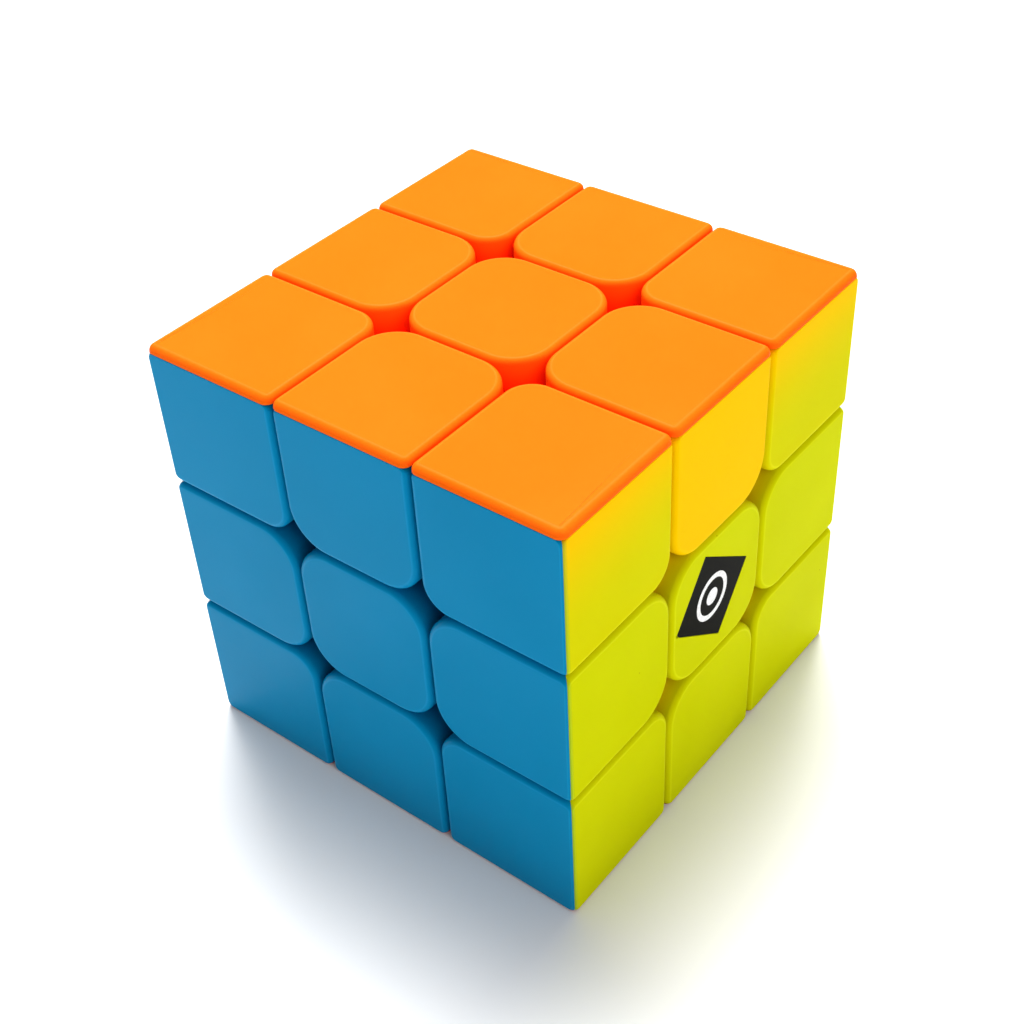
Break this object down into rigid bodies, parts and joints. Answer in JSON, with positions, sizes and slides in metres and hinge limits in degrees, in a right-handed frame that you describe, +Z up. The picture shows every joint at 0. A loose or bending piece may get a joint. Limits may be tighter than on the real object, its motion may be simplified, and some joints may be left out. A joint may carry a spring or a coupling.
{
  "type": "twisty puzzle cube",
  "caption": "Stickerless twisty puzzle cube whose six faces each turn about a sprung, screwed centre, with coloured edge and corner pieces on hooked feet.",
  "frame": {"origin": "middle of the core, which is the middle of the cube", "axes": "+Z up through the orange face, -Y towards the blue face, +X towards the yellow face"},
  "size_m": [0.056, 0.056, 0.056],
  "materials": {
    "orange_plastic": "satin moulded ABS, orange",
    "red_plastic": "satin moulded ABS, red",
    "blue_plastic": "satin moulded ABS, blue",
    "green_plastic": "satin moulded ABS, green",
    "yellow_plastic": "satin moulded ABS, yellow",
    "white_plastic": "satin moulded ABS, white",
    "inner_plastic": "matt moulded ABS, dark grey",
    "steel": "zinc-plated steel",
    "spring_steel": "drawn spring wire",
    "label_vinyl": "printed black film with a plain ring"
  },
  "bodies": {
    "core": {"core": "inner_plastic", "centre_screws": "steel", "centre_springs": "spring_steel", "spring_washers": "steel"},
    "centre_top": {"centre_cap_top": "orange_plastic", "centre_base_top": "inner_plastic"},
    "centre_bottom": {"centre_cap_bottom": "red_plastic", "centre_base_bottom": "inner_plastic"},
    "centre_right": {"centre_cap_right": "yellow_plastic", "centre_base_right": "inner_plastic", "label": "label_vinyl"},
    "centre_back": {"centre_cap_back": "green_plastic", "centre_base_back": "inner_plastic"},
    "centre_left": {"centre_cap_left": "white_plastic", "centre_base_left": "inner_plastic"},
    "centre_front": {"centre_cap_front": "blue_plastic", "centre_base_front": "inner_plastic"},
    "edge_top_back": {"edge_shells_top_back": "orange_plastic", "edge_foot_top_back": "inner_plastic"},
    "edge_top_left": {"edge_shells_top_left": "orange_plastic", "edge_foot_top_left": "inner_plastic"},
    "edge_top_front": {"edge_shells_top_front": "orange_plastic", "edge_foot_top_front": "inner_plastic"},
    "edge_top_right": {"edge_shells_top_right": "orange_plastic", "edge_foot_top_right": "inner_plastic"},
    "edge_bottom_back": {"edge_shells_bottom_back": "red_plastic", "edge_foot_bottom_back": "inner_plastic"},
    "edge_bottom_left": {"edge_shells_bottom_left": "red_plastic", "edge_foot_bottom_left": "inner_plastic"},
    "edge_bottom_front": {"edge_shells_bottom_front": "red_plastic", "edge_foot_bottom_front": "inner_plastic"},
    "edge_bottom_right": {"edge_shells_bottom_right": "red_plastic", "edge_foot_bottom_right": "inner_plastic"},
    "edge_back_right": {"edge_shells_back_right": "yellow_plastic", "edge_foot_back_right": "inner_plastic"},
    "edge_back_left": {"edge_shells_back_left": "green_plastic", "edge_foot_back_left": "inner_plastic"},
    "edge_front_left": {"edge_shells_front_left": "white_plastic", "edge_foot_front_left": "inner_plastic"},
    "edge_front_right": {"edge_shells_front_right": "blue_plastic", "edge_foot_front_right": "inner_plastic"},
    "corner_top_back_right": {"corner_shells_top_back_right": "orange_plastic", "corner_foot_top_back_right": "inner_plastic"},
    "corner_top_back_left": {"corner_shells_top_back_left": "orange_plastic", "corner_foot_top_back_left": "inner_plastic"},
    "corner_top_front_left": {"corner_shells_top_front_left": "orange_plastic", "corner_foot_top_front_left": "inner_plastic"},
    "corner_top_front_right": {"corner_shells_top_front_right": "orange_plastic", "corner_foot_top_front_right": "inner_plastic"},
    "corner_bottom_back_right": {"corner_shells_bottom_back_right": "yellow_plastic", "corner_foot_bottom_back_right": "inner_plastic"},
    "corner_bottom_back_left": {"corner_shells_bottom_back_left": "green_plastic", "corner_foot_bottom_back_left": "inner_plastic"},
    "corner_bottom_front_left": {"corner_shells_bottom_front_left": "white_plastic", "corner_foot_bottom_front_left": "inner_plastic"},
    "corner_bottom_front_right": {"corner_shells_bottom_front_right": "blue_plastic", "corner_foot_bottom_front_right": "inner_plastic"}
  },
  "joints": [
    {"name": "turn_top", "type": "hinge", "parent": "core", "child": "centre_top", "pos_m": [0, 0, 0], "axis": [0, 0, 1], "continuous": true},
    {"name": "turn_bottom", "type": "hinge", "parent": "core", "child": "centre_bottom", "pos_m": [0, 0, 0], "axis": [0, 0, -1], "continuous": true},
    {"name": "turn_right", "type": "hinge", "parent": "core", "child": "centre_right", "pos_m": [0, 0, 0], "axis": [1, 0, 0], "continuous": true},
    {"name": "turn_back", "type": "hinge", "parent": "core", "child": "centre_back", "pos_m": [0, 0, 0], "axis": [0, 1, 0], "continuous": true},
    {"name": "turn_left", "type": "hinge", "parent": "core", "child": "centre_left", "pos_m": [0, 0, 0], "axis": [-1, 0, 0], "continuous": true},
    {"name": "turn_front", "type": "hinge", "parent": "core", "child": "centre_front", "pos_m": [0, 0, 0], "axis": [0, -1, 0], "continuous": true},
    {"name": "edge_top_back_with_back", "type": "hinge", "parent": "centre_top", "child": "edge_top_back", "pos_m": [0, 0, 0], "axis": [0, 1, 0], "continuous": true},
    {"name": "edge_top_left_with_left", "type": "hinge", "parent": "centre_top", "child": "edge_top_left", "pos_m": [0, 0, 0], "axis": [-1, 0, 0], "continuous": true},
    {"name": "edge_top_front_with_front", "type": "hinge", "parent": "centre_top", "child": "edge_top_front", "pos_m": [0, 0, 0], "axis": [0, -1, 0], "continuous": true},
    {"name": "edge_top_right_with_right", "type": "hinge", "parent": "centre_top", "child": "edge_top_right", "pos_m": [0, 0, 0], "axis": [1, 0, 0], "continuous": true},
    {"name": "edge_bottom_back_with_bottom", "type": "hinge", "parent": "centre_back", "child": "edge_bottom_back", "pos_m": [0, 0, 0], "axis": [0, 0, -1], "continuous": true},
    {"name": "edge_bottom_left_with_bottom", "type": "hinge", "parent": "centre_left", "child": "edge_bottom_left", "pos_m": [0, 0, 0], "axis": [0, 0, -1], "continuous": true},
    {"name": "edge_bottom_front_with_bottom", "type": "hinge", "parent": "centre_front", "child": "edge_bottom_front", "pos_m": [0, 0, 0], "axis": [0, 0, -1], "continuous": true},
    {"name": "edge_bottom_right_with_bottom", "type": "hinge", "parent": "centre_right", "child": "edge_bottom_right", "pos_m": [0, 0, 0], "axis": [0, 0, -1], "continuous": true},
    {"name": "edge_back_right_with_back", "type": "hinge", "parent": "centre_right", "child": "edge_back_right", "pos_m": [0, 0, 0], "axis": [0, 1, 0], "continuous": true},
    {"name": "edge_back_left_with_left", "type": "hinge", "parent": "centre_back", "child": "edge_back_left", "pos_m": [0, 0, 0], "axis": [-1, 0, 0], "continuous": true},
    {"name": "edge_front_left_with_front", "type": "hinge", "parent": "centre_left", "child": "edge_front_left", "pos_m": [0, 0, 0], "axis": [0, -1, 0], "continuous": true},
    {"name": "edge_front_right_with_right", "type": "hinge", "parent": "centre_front", "child": "edge_front_right", "pos_m": [0, 0, 0], "axis": [1, 0, 0], "continuous": true},
    {"name": "corner_top_back_right_with_top", "type": "hinge", "parent": "edge_back_right", "child": "corner_top_back_right", "pos_m": [0, 0, 0], "axis": [0, 0, 1], "continuous": true},
    {"name": "corner_top_back_left_with_top", "type": "hinge", "parent": "edge_back_left", "child": "corner_top_back_left", "pos_m": [0, 0, 0], "axis": [0, 0, 1], "continuous": true},
    {"name": "corner_top_front_left_with_top", "type": "hinge", "parent": "edge_front_left", "child": "corner_top_front_left", "pos_m": [0, 0, 0], "axis": [0, 0, 1], "continuous": true},
    {"name": "corner_top_front_right_with_top", "type": "hinge", "parent": "edge_front_right", "child": "corner_top_front_right", "pos_m": [0, 0, 0], "axis": [0, 0, 1], "continuous": true},
    {"name": "corner_bottom_back_right_with_bottom", "type": "hinge", "parent": "edge_back_right", "child": "corner_bottom_back_right", "pos_m": [0, 0, 0], "axis": [0, 0, -1], "continuous": true},
    {"name": "corner_bottom_back_left_with_bottom", "type": "hinge", "parent": "edge_back_left", "child": "corner_bottom_back_left", "pos_m": [0, 0, 0], "axis": [0, 0, -1], "continuous": true},
    {"name": "corner_bottom_front_left_with_bottom", "type": "hinge", "parent": "edge_front_left", "child": "corner_bottom_front_left", "pos_m": [0, 0, 0], "axis": [0, 0, -1], "continuous": true},
    {"name": "corner_bottom_front_right_with_bottom", "type": "hinge", "parent": "edge_front_right", "child": "corner_bottom_front_right", "pos_m": [0, 0, 0], "axis": [0, 0, -1], "continuous": true}
  ],
  "couplings": [
    {"joint": "edge_top_back_with_back", "follows": "turn_back", "ratio": 1},
    {"joint": "edge_top_left_with_left", "follows": "turn_left", "ratio": 1},
    {"joint": "edge_top_front_with_front", "follows": "turn_front", "ratio": 1},
    {"joint": "edge_top_right_with_right", "follows": "turn_right", "ratio": 1},
    {"joint": "edge_bottom_back_with_bottom", "follows": "turn_bottom", "ratio": 1},
    {"joint": "edge_bottom_left_with_bottom", "follows": "turn_bottom", "ratio": 1},
    {"joint": "edge_bottom_front_with_bottom", "follows": "turn_bottom", "ratio": 1},
    {"joint": "edge_bottom_right_with_bottom", "follows": "turn_bottom", "ratio": 1},
    {"joint": "edge_back_right_with_back", "follows": "turn_back", "ratio": 1},
    {"joint": "edge_back_left_with_left", "follows": "turn_left", "ratio": 1},
    {"joint": "edge_front_left_with_front", "follows": "turn_front", "ratio": 1},
    {"joint": "edge_front_right_with_right", "follows": "turn_right", "ratio": 1},
    {"joint": "corner_top_back_right_with_top", "follows": "turn_top", "ratio": 1},
    {"joint": "corner_top_back_left_with_top", "follows": "turn_top", "ratio": 1},
    {"joint": "corner_top_front_left_with_top", "follows": "turn_top", "ratio": 1},
    {"joint": "corner_top_front_right_with_top", "follows": "turn_top", "ratio": 1},
    {"joint": "corner_bottom_back_right_with_bottom", "follows": "turn_bottom", "ratio": 1},
    {"joint": "corner_bottom_back_left_with_bottom", "follows": "turn_bottom", "ratio": 1},
    {"joint": "corner_bottom_front_left_with_bottom", "follows": "turn_bottom", "ratio": 1},
    {"joint": "corner_bottom_front_right_with_bottom", "follows": "turn_bottom", "ratio": 1}
  ]
}
